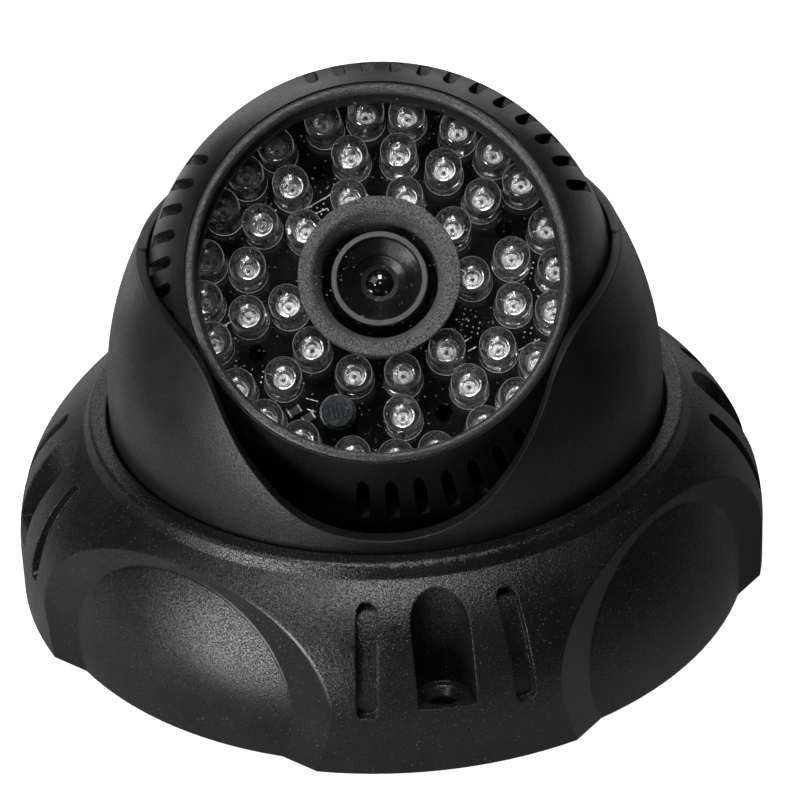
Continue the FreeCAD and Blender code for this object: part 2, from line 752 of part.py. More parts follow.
front_drilled = cut("ball_front_ring", front_vented, fuse("front_boss_holes", [
    rod("front_boss_hole_%d" % n, 0.78, 5.0, spot(SCREW_RING, a, S.seam_h.value))
    for n, a in enumerate(SCREW_ANGLES)]))
keep("ball_front_ring", in_ball(front_drilled))

bezel = turned("window_bezel", [
    (S.bezel_in_rad, S.glass_top_h + S.gap_fine),
    (S.glass_rad + 0.15, S.glass_top_h + S.gap_fine),
    (S.glass_rad + 0.15, S.bezel_seat_h + S.gap_fine),
    (S.bezel_out_rad - 0.03, S.bezel_seat_h + S.gap_fine),
    (S.bezel_out_rad - 0.03, crease_h - 0.35, 0.95, -1),
    (S.bezel_in_rad + 0.35, S.bezel_crest_h - 0.1, 0.6, -1),
    (S.bezel_in_rad, S.bezel_lip_h + 0.35),
])
keep("window_bezel", in_ball(bezel))
seal = turned("window_seal", [
    (S.seal_in_rad, S.seat_h + 0.02),
    (S.glass_rad, S.seat_h + 0.02),
    (S.glass_rad, S.seat_h + 0.02 + S.seal_thick),
    (S.seal_in_rad, S.seat_h + 0.02 + S.seal_thick),
])
keep("window_seal", in_ball(seal))
glass = turned("window_glass", [
    (0, S.glass_top_h - S.glass_thick),
    (S.glass_rad - 0.2, S.glass_top_h - S.glass_thick),
    (S.glass_rad, S.glass_top_h - S.glass_thick + 0.2),
    (S.glass_rad, S.glass_top_h - 0.2),
    (S.glass_rad - 0.2, S.glass_top_h),
    (0, S.glass_top_h),
])
keep("window_glass", in_ball(glass))

spigot_out = ball_in - 0.12
spigot_in = spigot_out - S.spigot_thick
rear_blank = turned("rear_shell_blank", [
    (0, -S.ball_rad),
    (0, -ball_in, ball_in, -1),
    (on_ball(ball_in, 6.0), -6.0),
    (on_ball(spigot_in, 1.0), 1.0, spigot_in, -1),
    (on_ball(spigot_in, S.spigot_top_h), S.spigot_top_h),
    (on_ball(spigot_out, S.spigot_top_h), S.spigot_top_h, spigot_out, 1),
    (on_ball(spigot_out, S.seam_h - 0.1), S.seam_h - 0.1),
    (on_ball(S.ball_rad, S.seam_h - 0.1), S.seam_h - 0.1, S.ball_rad, 1),
])
tail_way = FreeCAD.Rotation(Vec(1, 0, 0), -S.tail_angle.value).multVec(Vec(0, 0, -1))
X_AXIS = Vec(1, 0, 0)
rear_cuts = [
    rod("ball_pivot_hole", S.pivot_rad + 0.02, 80, Vec(-40, 0, 0), X_AXIS),
    rod("tail_hole", S.cable_rad + 1.3, 12, tail_way * 26, tail_way),
]
for number, angle in enumerate(SCREW_ANGLES):
    rear_cuts.append(rod("spigot_notch_%d" % number, 2.0, 12, spot(SCREW_RING, angle, 3.9)))
    rear_cuts.append(rod("rear_screw_hole_%d" % number, 0.95, 20, spot(SCREW_RING, angle, -9)))
    rear_cuts.append(rod("rear_head_hole_%d" % number, 1.9, 24, spot(SCREW_RING, angle, -30)))
rear_posts = common("rear_posts", [
    fuse("rear_post_rods", [rod("rear_post_%d" % n, 2.6, 24, spot(SCREW_RING, a, -20.2))
                            for n, a in enumerate(SCREW_ANGLES)]),
    turned("rear_full", [
        (0, -S.ball_rad, S.ball_rad, -1),
        (on_ball(S.ball_rad, S.seam_h - 0.1), S.seam_h - 0.1),
        (0, S.seam_h - 0.1),
    ])])
carrier_ledge_low = -3.0
ledges = []
for number in range(4):
    angle = S.post_first.value + 90 * number
    ledges.append(rod("ledge_%d" % number, 3.0, 6, spot(27.5, angle, carrier_ledge_low - 3)))
ledge_body = common("ledges_inside", [fuse("ledges", ledges), doc.getObject("rear_full")])
rear_solid = fuse("rear_solid", [rear_blank, rear_posts, ledge_body])
rear_shell = cut("ball_rear_shell", rear_solid, fuse("rear_cuts", rear_cuts))
keep("ball_rear_shell", in_ball(rear_shell))

screw_places = [at(spot(SCREW_RING, a, -6.05), turn_over) for a in SCREW_ANGLES]
ball_screw_shape = copies(screw_shape(0.76, 13.5, 1.7, 1.2, 0.8), screw_places)
keep("ball_screws", from_code("ball_screws", ball_screw_shape, ball=True))

pins = []
for way in (1, -1):
    outward = X_AXIS * way
    start = on_ball(spigot_in, S.pivot_rad + 1.3).value - 0.15
    pin = Part.makeCylinder(S.pivot_rad.value, 36.05 - start, outward * start, outward)
    head = Part.makeCylinder(S.pivot_rad.value + 1.2, 1.4, outward * (start - 1.35), outward)
    pins.append(pin.fuse(head))
keep("pivot_pins", from_code("pivot_pins", Part.makeCompound(pins), ball=True))

# ================================================================ lamp board
board = doc.addObject("PartDesign::Body", "led_board")
pad(board, "led_board_disc",
    lambda sk: (circle(sk, 0, 0, S.board_rad), circle(sk, 0, 0, S.board_bore_rad)),
    S.board_top_h - S.board_thick, S.board_thick)
post = spot(1, S.post_first.value)
cut_through(board, "board_post_hole",
            lambda sk: circle(sk, S.post_circle * post.x, S.post_circle * post.y, S.post_hole_rad),
            S.board_top_h + 1, 4, polar=4)
keep("led_board", in_ball(board))

# Lamp places: an outer ring in eight threes, a middle ring shared with the light sensor,
# and an inner ring in two fives.
lamps = []
for group in range(8):
    for step in (-1, 0, 1):
        lamps.append((S.ring_outer.value, 2.9 + 45 * group + 13.8 * step))
SENSOR_ANGLE = 249.8
for quadrant in range(4):
    centre = 69.8 + 90 * quadrant
    offsets = (-28, 28) if quadrant == 2 else (-30.6, -10.2, 10.2, 30.6)
    lamps.extend((S.ring_middle.value, centre + offset) for offset in offsets)
for centre, pitch in ((72.3, 34.4), (251.7, 30.5)):
    lamps.extend((S.ring_inner.value, centre + pitch * step) for step in (-2, -1, 0, 1, 2))
board_top = S.board_top_h.value
lamp_places = [at(spot(r, a, board_top + 0.03), FreeCAD.Rotation(Vec(0, 0, 1), a)) for r, a in lamps]


def lamp_body():
    """5 mm round lamp: flanged skirt, straight barrel and domed lens, open underneath."""
    radius = S.lamp_rad.value
    flange = S.lamp_flange_rad.value
    straight = S.lamp_height.value - radius
    wire = Part.Wire([
        Part.makeLine(Vec(0, 0, 3.3), Vec(2.0, 0, 3.3)),
        Part.makeLine(Vec(2.0, 0, 3.3), Vec(2.0, 0, 0)),
        Part.makeLine(Vec(2.0, 0, 0), Vec(flange, 0, 0)),
        Part.makeLine(Vec(flange, 0, 0), Vec(flange, 0, S.lamp_flange_h.value)),
        Part.makeLine(Vec(flange, 0, S.lamp_flange_h.value), Vec(radius, 0, S.lamp_flange_h.value)),
        Part.makeLine(Vec(radius, 0, S.lamp_flange_h.value), Vec(radius, 0, straight)),
        Part.Arc(Vec(radius, 0, straight),
                 Vec(radius * math.cos(math.pi / 4), 0, straight + radius * math.sin(math.pi / 4)),
                 Vec(0, 0, S.lamp_height.value)).toShape(),
        Part.makeLine(Vec(0, 0, S.lamp_height.value), Vec(0, 0, 3.3)),
    ])
    solid = Part.Face(wire).revolve(Vec(), Vec(0, 0, 1), 360)
    if solid.Volume < 0:
        solid.reverse()
    return solid


def lamp_cup():
    """Lead frame inside the lamp: anvil post with a reflector cup, and the thin post."""
    cup = spin_solid([(0.12, 0.1), (0.55, 0.1), (0.55, 2.0), (1.1, 2.9), (0.9, 2.9), (0.12, 2.0)])
    thin = Part.makeBox(0.5, 0.5, 2.9, Vec(-1.75, -0.25, 0.1))
    return Part.makeCompound([cup, thin])


keep("led_domes", from_code("led_domes", copies(lamp_body(), lamp_places), ball=True))
keep("led_frames", from_code("led_frames", copies(lamp_cup(), lamp_places), ball=True))

# Light sensor in its black sleeve.
sensor_spot = spot(S.ring_middle.value, SENSOR_ANGLE, board_top + 0.03)
sleeve = spin_solid([(S.cell_rad.value + 0.08, 0), (S.sleeve_rad.value, 0), (S.sleeve_rad.value, 5.4),
                     (S.sleeve_rad.value - 0.3, 5.7), (S.cell_rad.value + 0.08, 5.7)])
cell = Part.makeCylinder(S.cell_rad.value, 2.0, Vec(0, 0, 2.9))
stalk = Part.makeCylinder(1.2, 2.9, Vec(0, 0, 0))
sleeve.translate(sensor_spot)
cell_solid = cell.fuse(stalk)
cell_solid.translate(sensor_spot)
keep("light_sensor_sleeve", from_code("light_sensor_sleeve", sleeve, ball=True))
keep("light_sensor_cell", from_code("light_sensor_cell", cell_solid, ball=True))

# Small parts soldered on the lamp board.
smd = []
for x, y, turn, length in ((-12.5, -16.5, 30, 2.0), (-10.6, -17.5, 30, 2.0)):
    chip = Part.makeBox(length, length * 0.6, 0.7, Vec(-length / 2, -length * 0.3, 0))
    chip.Placement = at(Vec(x, y, board_top + 0.03), FreeCAD.Rotation(Vec(0, 0, 1), turn))
    smd.append(chip)
keep("led_board_chips", from_code("led_board_chips", Part.makeCompound(smd), ball=True))

# Lamp board pillars stand on the sensor carrier and carry both boards.
carrier_top = carrier_ledge_low + 3.05
carrier = doc.addObject("PartDesign::Body", "board_carrier")
pad(carrier, "carrier_ring", lambda sk: (circle(sk, 0, 0, 26.1), circle(sk, 0, 0, 14.0)), carrier_top, 1.6)
keep("board_carrier", in_ball(carrier))


pillars = []
pillar_low = carrier_top + 1.65
pillar_high = board_top - S.board_thick.value - 0.05
for number in range(4):
    angle = 69.8 + 90 * number
    pillars.append(Part.makeCylinder(2.2, pillar_high - pillar_low, spot(22.0, angle, pillar_low)))
keep("board_pillars", from_code("board_pillars", Part.makeCompound(pillars), ball=True))

# ================================================================ sensor board and lens
sensor_board = doc.addObject("PartDesign::Body", "sensor_board")


def square(sk):
    half = S.sensor_side * 0.5
    outline(sk, [(-half, -half), (half, -half), (half, half), (-half, half)])


pad(sensor_board, "sensor_board_pad", square, S.sensor_top_h - S.sensor_thick, S.sensor_thick)
keep("sensor_board", in_ball(sensor_board))
sensor_top = S.sensor_top_h.value
hangers = []
for x, y in ((-15.5, -15.5), (15.5, -15.5), (15.5, 15.5), (-15.5, 15.5)):
    hangers.append(Part.makeCylinder(1.8, carrier_top - sensor_top - 0.1, Vec(x, y, sensor_top + 0.05)))
keep("sensor_standoffs", from_code("sensor_standoffs", Part.makeCompound(hangers), ball=True))
imager = Part.makeBox(9.0, 8.0, 1.2, Vec(-4.5, -4.0, sensor_top + 0.05))
keep("image_sensor", from_code("image_sensor", imager, ball=True))
chips = [Part.makeBox(7, 7, 1.0, Vec(-3.5, -3.5, sensor_top - S.sensor_thick.value - 1.05)),
         Part.makeBox(5, 4, 1.3, Vec(7, -9, sensor_top - S.sensor_thick.value - 1.35)),
         Part.makeCylinder(2.5, 5.5, Vec(-11, 8, sensor_top - S.sensor_thick.value - 5.55)),
         Part.makeCylinder(2.0, 5.0, Vec(-11, -2, sensor_top - S.sensor_thick.value - 5.05))]
keep("sensor_board_chips", from_code("sensor_board_chips", Part.makeCompound(chips), ball=True))

holder = turned("lens_holder", [
    (S.lens_thread_rad + S.pivot_clear, S.holder_low_h + 3.2),
    (7.0, S.holder_low_h + 3.2),
    (7.0, S.holder_low_h),
    (9.2, S.holder_low_h),
    (9.2, S.holder_low_h + 2.0),
    (S.holder_rad, S.holder_low_h + 2.6),
    (S.holder_rad, S.holder_top_h),
    (S.lens_thread_rad + S.pivot_clear, S.holder_top_h),
])
keep("lens_holder", in_ball(holder))
head_low = S.lens_head_low
front = S.lens_front_h
barrel = turned("lens_barrel", [
    (4.2, S.lens_low_h + 0.4),
    (S.lens_thread_rad, S.lens_low_h + 0.4),
    (S.lens_thread_rad, head_low),
    (S.lens_head_rad - 0.3, head_low),
    (S.lens_head_rad, head_low + 0.3),
    (S.lens_head_rad, front - 0.3),
    (S.lens_head_rad - 0.3, front),
    (S.lens_head_rad - 1.1, front),
    (2.9, front - 3.4),
    (2.9, front - 7.4),
    (4.2, front - 7.4),
])
keep("lens_barrel", in_ball(barrel))
lock = turned("lens_lock_ring", [
    (S.lens_thread_rad + 0.03, head_low - 2.4),
    (8.1, head_low - 2.4),
    (8.1, head_low - 0.9),
    (S.lens_thread_rad + 0.03, head_low - 0.9),
])
keep("lens_lock_ring", in_ball(lock))
dome_chord = side(Dim(4.0), Dim(2.85))
lens_glass = turned("lens_front_glass", [
    (0, front - 6.9),
    (2.85, front - 6.9),
    (2.85, front - 4.2, 4.0, -1),
    (0, front - 4.2 - dome_chord + 4.0),
])
keep("lens_front_glass", in_ball(lens_glass))
rear_lens = turned("lens_rear_glass", [
    (0, S.lens_low_h + 0.9),
    (4.15, S.lens_low_h + 0.9),
    (4.15, S.lens_low_h + 3.4),
    (0, S.lens_low_h + 3.4),
])
keep("lens_rear_glass", in_ball(rear_lens))
glass_low = S.glass_top_h - S.glass_thick
shield = turned("lens_shield", [
    (S.shield_in_rad, S.board_top_h + 0.1),
    (S.shield_tube_rad, S.board_top_h + 0.1),
    (S.shield_tube_rad, S.shield_flange_low),
    (S.shield_out_rad, S.shield_flange_low + 0.5),
    (S.shield_out_rad, glass_low - 0.1),
    (S.shield_seat_rad, glass_low - 0.1),
    (S.shield_in_rad, glass_low - 0.1 - S.shield_slope_drop),
])
keep("lens_shield", in_ball(shield))

# ================================================================ tail cable and grommet
grommet = spin_solid([(S.cable_rad.value + 0.03, -2.6), (S.cable_rad.value + 2.4, -2.6),
                      (S.cable_rad.value + 2.4, -0.25), (S.cable_rad.value + 1.25, -0.25),
                      (S.cable_rad.value + 1.25, 2.2), (S.cable_rad.value + 0.6, 3.0),
                      (S.cable_rad.value + 0.03, 3.0)])
tail_turn = FreeCAD.Rotation(Vec(0, 0, 1), tail_way)
ball_inner = ball_in.value
grommet_shape = copies(grommet, [at(tail_way * (ball_inner - 0.3), tail_turn)])
keep("tail_grommet", from_code("tail_grommet", grommet_shape, ball=True))
cable = Part.makeCylinder(S.cable_rad.value, 15, tail_way * (ball_inner - 10), tail_way)
keep("tail_cable", from_code("tail_cable", cable, ball=True))

doc.recompute()
for thing in doc.Objects:
    if "Invalid" in thing.State or "Error" in thing.State:
        raise RuntimeError("%s failed: %s" % (thing.Name, thing.State))
os.makedirs("parts", exist_ok=True)
for node, thing in kept.items():
    shape = thing.Shape
    if shape.isNull() or not shape.isValid() or not shape.Solids:
        raise RuntimeError("%s has no valid shape" % node)
    print(node, len(shape.Solids), round(shape.Volume, 2), shape.BoundBox)
    shape.exportStep("parts/%s.step" % node)
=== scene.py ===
import json
import math
import random

import bpy
from mathutils import Matrix, Vector


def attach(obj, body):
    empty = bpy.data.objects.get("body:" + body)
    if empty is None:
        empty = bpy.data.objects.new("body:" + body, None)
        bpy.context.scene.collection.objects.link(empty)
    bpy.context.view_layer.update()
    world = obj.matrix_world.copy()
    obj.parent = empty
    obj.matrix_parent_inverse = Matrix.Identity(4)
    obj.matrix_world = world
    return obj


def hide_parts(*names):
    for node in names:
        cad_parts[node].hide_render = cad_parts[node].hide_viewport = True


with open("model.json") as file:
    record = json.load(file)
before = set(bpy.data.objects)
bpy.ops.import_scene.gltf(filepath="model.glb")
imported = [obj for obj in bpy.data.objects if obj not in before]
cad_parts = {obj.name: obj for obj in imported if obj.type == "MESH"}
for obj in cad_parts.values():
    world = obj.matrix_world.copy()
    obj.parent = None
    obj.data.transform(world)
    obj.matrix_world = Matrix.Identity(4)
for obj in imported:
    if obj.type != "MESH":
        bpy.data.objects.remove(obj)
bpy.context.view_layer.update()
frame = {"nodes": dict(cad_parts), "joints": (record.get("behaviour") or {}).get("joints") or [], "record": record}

MM = 0.001
scene = bpy.context.scene
nodes = frame["nodes"]
joints = {j["child"]: j for j in frame["joints"]}

# ------------------------------------------------------------------ the ball's own frame
# Origin at the ball's centre, +Z along the lens axis, +X to the right, all in millimetres.
ball_centre = Vector(joints["ball"]["pos_m"])
lens_axis = Vector(joints["lens"]["axis"]).normalized()
ball_tilt = math.atan2(-lens_axis.y, lens_axis.z)
BALL = Matrix.Translation(ball_centre) @ Matrix.Rotation(ball_tilt, 4, "X") @ Matrix.Scale(MM, 4)


# ------------------------------------------------------------------ materials
class Shader:
    """A small wrapper that keeps node materials short to write."""

    def __init__(self, name):
        self.material = bpy.data.materials.new(name)
        self.material.use_nodes = True
        self.tree = self.material.node_tree
        self.tree.nodes.clear()
        self.output = self.tree.nodes.new("ShaderNodeOutputMaterial")
        self.coords = self.tree.nodes.new("ShaderNodeTexCoord").outputs["Object"]

    def node(self, kind, inputs=None, **settings):
        made = self.tree.nodes.new("ShaderNode" + kind)
        for key, value in settings.items():
            setattr(made, key, value)
        for key, value in (inputs or {}).items():
            if isinstance(value, bpy.types.NodeSocket):
                self.tree.links.new(value, made.inputs[key])
            else:
                made.inputs[key].default_value = value
        return made

    def noise(self, size_mm, detail=2.0, roughness=0.5):
        made = self.node("TexNoise", {"Scale": 1.0 / (size_mm * MM), "Detail": detail,
                                      "Roughness": roughness, "Vector": self.coords})
        return made.outputs["Fac"]

    def cells(self, size_mm, feature="F1"):
        made = self.node("TexVoronoi", {"Scale": 1.0 / (size_mm * MM), "Vector": self.coords,
                                        "Randomness": 1.0}, feature=feature)
        return made.outputs["Distance"]

    def remap(self, value, low, high, to_low, to_high):
        made = self.node("MapRange", {"Value": value, "From Min": low, "From Max": high,
                                      "To Min": to_low, "To Max": to_high})
        return made.outputs["Result"]

    def math(self, operation, a, b=0.0):
        made = self.node("Math", operation=operation)
        for index, value in enumerate((a, b)):
            if isinstance(value, bpy.types.NodeSocket):
                self.tree.links.new(value, made.inputs[index])
            else:
                made.inputs[index].default_value = value
        return made.outputs[0]

    def mix_color(self, factor, first, second):
        made = self.node("Mix", data_type="RGBA")
        for key, value in ((0, factor), (6, first), (7, second)):
            if isinstance(value, bpy.types.NodeSocket):
                self.tree.links.new(value, made.inputs[key])
            else:
                made.inputs[key].default_value = value
        return made.outputs[2]

    def bump(self, height, distance_mm, normal=None):
        inputs = {"Height": height, "Distance": distance_mm * MM, "Strength": 1.0}
        if normal is not None:
            inputs["Normal"] = normal
        return self.node("Bump", inputs).outputs["Normal"]

    def finish(self, shader):
        self.tree.links.new(shader, self.output.inputs["Surface"])
        return self.material


def grey(value, warm=0.0):
    return (value * (1 + warm), value, value * (1 - warm), 1)


SCOOP_AZIMUTH, SCOOP_LEAN, SCOOP_DISTANCE = math.radians(52.7), math.radians(7.4), 48.65


def scoop_flats(s):
    """1 on the four leaning flats of the base's scoops, which are moulded smoother than the rest."""
    place = s.node("SeparateXYZ", {0: s.coords}).outputs
    found = None
    for azimuth in (SCOOP_AZIMUTH, SCOOP_AZIMUTH - math.pi / 2):
        along = s.math("ADD", s.math("MULTIPLY", place["X"], math.sin(azimuth)),
                       s.math("MULTIPLY", place["Y"], -math.cos(azimuth)))
        out = s.math("ADD", s.math("ABSOLUTE", along),
                     s.math("MULTIPLY", place["Z"], math.tan(SCOOP_LEAN)))
        gap = s.math("ABSOLUTE", s.math("SUBTRACT", out, SCOOP_DISTANCE * MM))
        near = s.remap(gap, 0.00006, 0.00016, 1.0, 0.0)
        found = near if found is None else s.math("MAXIMUM", found, near)
    return found


ROUGH_SPREAD = 0.08
WARM = 0.02


def plastic(name, color, rough, grain_mm, grain_height, edge_mm=0.0, speck=0.0, specular=0.5,
            sparkle=0.35, flats=False):
    """Moulded black plastic with a spark-eroded grain.

    edge_mm rounds the edges in the shading, speck is the strength of dust, sparkle is how much the
    grain varies the highlights, and flats makes the base's lower wall and scoop flats smoother.
    """
    s = Shader(name)
    grained = 1.0
    if flats:
        high = s.node("SeparateXYZ", {0: s.coords}).outputs["Z"]
        grained = s.math("MULTIPLY", s.remap(scoop_flats(s), 0.0, 1.0, 1.0, 0.12),
                         s.remap(high, 0.005, 0.015, 0.18, 1.0))
    grain = s.noise(grain_mm, 3.0, 0.62)
    pits = s.cells(grain_mm * 1.6, "SMOOTH_F1")
    height = s.math("MULTIPLY", s.math("ADD", grain, s.math("MULTIPLY", pits, 0.5)), grained)
    start = s.node("Bevel", {"Radius": edge_mm * MM}, samples=4).outputs["Normal"] if edge_mm else None
    normal = s.bump(height, grain_height, start)
    cloud = s.noise(9.0, 3.0)
    roughness = s.math("ADD", s.remap(cloud, 0.3, 0.7, rough - ROUGH_SPREAD, rough + ROUGH_SPREAD),
                       s.remap(grain, 0.35, 0.65, 0.06, -0.06))
    dust = s.remap(s.noise(grain_mm * 1.2, 1.0), 0.70, 0.76, 0.0, speck)
    tone = s.mix_color(s.remap(cloud, 0.3, 0.7, 0.0, 1.0),
                       grey(color * 0.85, WARM), grey(color * 1.15, WARM))
    tone = s.mix_color(dust, tone, grey(0.35))
    glint = s.remap(s.math("MULTIPLY", s.math("SUBTRACT", grain, 0.5), grained), -0.14, 0.14,
                    specular * (1 - sparkle), specular * (1 + sparkle))
    shader = s.node("BsdfPrincipled", {"Base Color": tone, "Roughness": roughness, "Normal": normal,
                                       "Specular IOR Level": glint})
    return s.finish(shader.outputs["BSDF"])


def metal(name, color, rough, scratch_mm=0.6, height=0.004):
    """Bare metal with fine marks."""
    s = Shader(name)
    marks = s.noise(scratch_mm, 4.0, 0.7)
    shader = s.node("BsdfPrincipled", {
        "Base Color": color, "Metallic": 1.0,
        "Roughness": s.remap(marks, 0.3, 0.7, rough * 0.7, rough * 1.4),
        "Normal": s.bump(marks, height)})
    return s.finish(shader.outputs["BSDF"])


def board(name, color, rough):
    """Solder-masked circuit board: glossy, with a faint weave below."""
    s = Shader(name)
    weave = s.node("TexWave", {"Scale": 1.0 / (1.1 * MM) / 6.28, "Distortion": 1.5, "Vector": s.coords})
    cloud = s.noise(4.0, 3.0)
    tone = s.mix_color(s.remap(cloud, 0.35, 0.65, 0.0, 1.0), tuple(c * 0.7 for c in color[:3]) + (1,),
                       tuple(min(1, c * 1.35) for c in color[:3]) + (1,))
    height = s.math("ADD", s.math("MULTIPLY", weave.outputs["Fac"], 0.3), s.noise(0.9, 2.0))
    shader = s.node("BsdfPrincipled", {
        "Base Color": tone, "Roughness": s.remap(cloud, 0.3, 0.7, rough * 0.8, rough * 1.3),
        "Normal": s.bump(height, 0.006), "Specular IOR Level": 0.35})
    return s.finish(shader.outputs["BSDF"])


RING_PITCH = 1.9     # mm between the painted bright lines round a lamp
SWIRL_SIZE = 0.8     # mm, size of the streaks in the resin
PAINTED_OUTLINE_GLOW = 0.62   # brightness of the painted highlight on a lamp's outline


def clear(name, ior, tint, haze, rim):
    """Clear cast resin that lets light through to what is inside.

    haze is the strength of the milky streaks, and rim that of the painted highlight: an emission on the outlines,
    in bright rings, standing in for light carried through the resin.
    """
    s = Shader(name)
    body = s.node("BsdfGlass", {"Color": tint, "Roughness": 0.0, "IOR": ior}).outputs[0]
    swirl = s.node("TexNoise", {"Scale": 1.0 / (SWIRL_SIZE * MM), "Detail": 3.0, "Roughness": 0.65,
                                "Distortion": 3.0, "Vector": s.coords}).outputs["Fac"]
    streaks = s.remap(swirl, 0.45, 0.68, 0.0, haze * 2.2)
    # Painted highlight: the bright rings along the lamp and its bright outline are an emission, standing in for
    # light caught in the resin.
    place = s.node("SeparateXYZ", {0: s.coords}).outputs
    along = s.math("ADD", s.math("MULTIPLY", place["Y"], lens_axis.y),
                   s.math("MULTIPLY", place["Z"], lens_axis.z))
    wave = s.math("ABSOLUTE", s.math("SINE", s.math("MULTIPLY", along, math.pi / (RING_PITCH * MM))))
    rings = s.remap(s.math("POWER", wave, 5.0), 0.0, 1.0, 0.15, 1.0)
    edge_on = s.node("LayerWeight", {"Blend": 0.5}).outputs["Facing"]
    edge = s.math("MULTIPLY", s.remap(edge_on, 0.74, 0.92, 0.0, rim), rings)
    edge = s.math("MAXIMUM", edge, s.remap(edge_on, 0.90, 0.96, 0.0, rim))
    edge = s.math("MULTIPLY", edge, s.remap(swirl, 0.42, 0.56, 0.35, 1.0))
    front = s.node("BsdfDiffuse", {"Color": grey(0.85)}).outputs[0]
    behind = s.node("BsdfTranslucent", {"Color": grey(0.85)}).outputs[0]
    cloud = s.node("MixShader", {0: 0.5, 1: front, 2: behind}).outputs[0]
    painted_outline_glow = s.node("Emission", {"Color": grey(1.0), "Strength": PAINTED_OUTLINE_GLOW}).outputs[0]
    body = s.node("MixShader", {0: streaks, 1: body, 2: cloud}).outputs[0]
    body = s.node("MixShader", {0: edge, 1: body, 2: painted_outline_glow}).outputs[0]
    through = s.node("BsdfTransparent", {"Color": tint}).outputs[0]
    path = s.node("LightPath")
    pass_on = s.math("MAXIMUM", path.outputs["Is Shadow Ray"], path.outputs["Is Diffuse Ray"])
    return s.finish(s.node("MixShader", {0: pass_on, 1: body, 2: through}).outputs[0])


def coated_lens(name):
    """Coated lens over a black barrel: deep and nearly black, with clean reflections."""
    s = Shader(name)
    cloud = s.noise(1.2, 2.0)
    tone = s.mix_color(cloud, (0.002, 0.002, 0.003, 1), (0.006, 0.006, 0.009, 1))
    shader = s.node("BsdfPrincipled", {"Base Color": tone, "Roughness": 0.03, "IOR": 1.6,
                                       "Normal": s.bump(s.noise(0.9, 2.0), 0.0004)})
    return s.finish(shader.outputs["BSDF"])


def cup_with_painted_glow(name):
    """Silvered reflector cup with a painted glow: an emission stands in for the light the dome gathers onto it,
    and is cut down as painted shade at the window's upper left.
    """
    s = Shader(name)
    marks = s.noise(0.30, 3.0, 0.7)
    place = s.node("SeparateXYZ", {0: s.coords}).outputs
    # Painted shade: the glow fades out on the lamps towards the window's upper left.
    painted_shade_place = s.math("ADD", s.math("MULTIPLY", place["X"], -0.75), s.math("MULTIPLY", place["Z"], 0.65))
    painted_glow_strength = s.math("MULTIPLY", s.remap(painted_shade_place, 0.043, 0.049, 0.38, 0.02),
                    s.remap(marks, 0.35, 0.65, 0.1, 1.9))
    silver = s.node("BsdfPrincipled", {"Base Color": grey(0.9), "Metallic": 1.0, "Roughness": 0.18,
                                       "Normal": s.bump(marks, 0.006)}).outputs["BSDF"]
    # Painted glow: an emission on the cup, which is no lamp.
    glow = s.node("Emission", {"Color": grey(1.0), "Strength": painted_glow_strength}).outputs[0]
    return s.finish(s.node("AddShader", {0: silver, 1: glow}).outputs[0])


def window():
    """Polished flat window: see-through with a faint reflection and a few specks of dust."""
    s = Shader("window_clear")
    fresnel = s.node("Fresnel", {"IOR": 1.45}).outputs[0]
    gloss = s.node("BsdfGlossy", {"Color": grey(0.9), "Roughness": 0.03}).outputs[0]
    through = s.node("BsdfTransparent", {"Color": grey(0.985)}).outputs[0]
    pane = s.node("MixShader", {0: s.math("MULTIPLY", fresnel, 0.45), 1: through, 2: gloss}).outputs[0]
    dust = s.remap(s.noise(0.35, 0.0), 0.80, 0.84, 0.0, 0.25)
    speck = s.node("BsdfDiffuse", {"Color": grey(0.7)}).outputs[0]
    return s.finish(s.node("MixShader", {0: dust, 1: pane, 2: speck}).outputs[0])


def foam(name):
    """Open black foam: a fine light and dark grain."""
    s = Shader(name)
    fine = s.noise(0.20, 2.0, 0.7)
    coarse = s.cells(0.28, "F1")
    height = s.math("ADD", fine, s.math("MULTIPLY", coarse, 0.9))
    tone = s.mix_color(s.remap(fine, 0.38, 0.66, 0.0, 1.0), grey(0.025), grey(0.30))
    shader = s.node("BsdfPrincipled", {"Base Color": tone, "Roughness": 0.8,
                                       "Normal": s.bump(height, 0.10), "Specular IOR Level": 0.5})
    return s.finish(shader.outputs["BSDF"])


def rubber(name, color=0.02, rough=0.7):
    """Dull moulded rubber or cable jacket."""
    s = Shader(name)
    fine = s.noise(0.25, 2.0, 0.6)
    shader = s.node("BsdfPrincipled", {
        "Base Color": s.mix_color(fine, grey(color * 0.8), grey(color * 1.3)),
        "Roughness": s.remap(s.noise(3.0), 0.3, 0.7, rough - 0.1, rough + 0.1),
        "Normal": s.bump(fine, 0.015)})
    return s.finish(shader.outputs["BSDF"])


def sensor_face(name):
    """Teal resin over the light sensor."""
    s = Shader(name)
    cloud = s.noise(0.8, 3.0)
    tone = s.mix_color(s.remap(cloud, 0.35, 0.65, 0, 1),
                       (0.022, 0.040, 0.044, 1), (0.065, 0.100, 0.106, 1))
    shader = s.node("BsdfPrincipled", {"Base Color": tone, "Roughness": 0.25,
                                       "Normal": s.bump(s.noise(0.3, 2.0), 0.01)})
    return s.finish(shader.outputs["BSDF"])


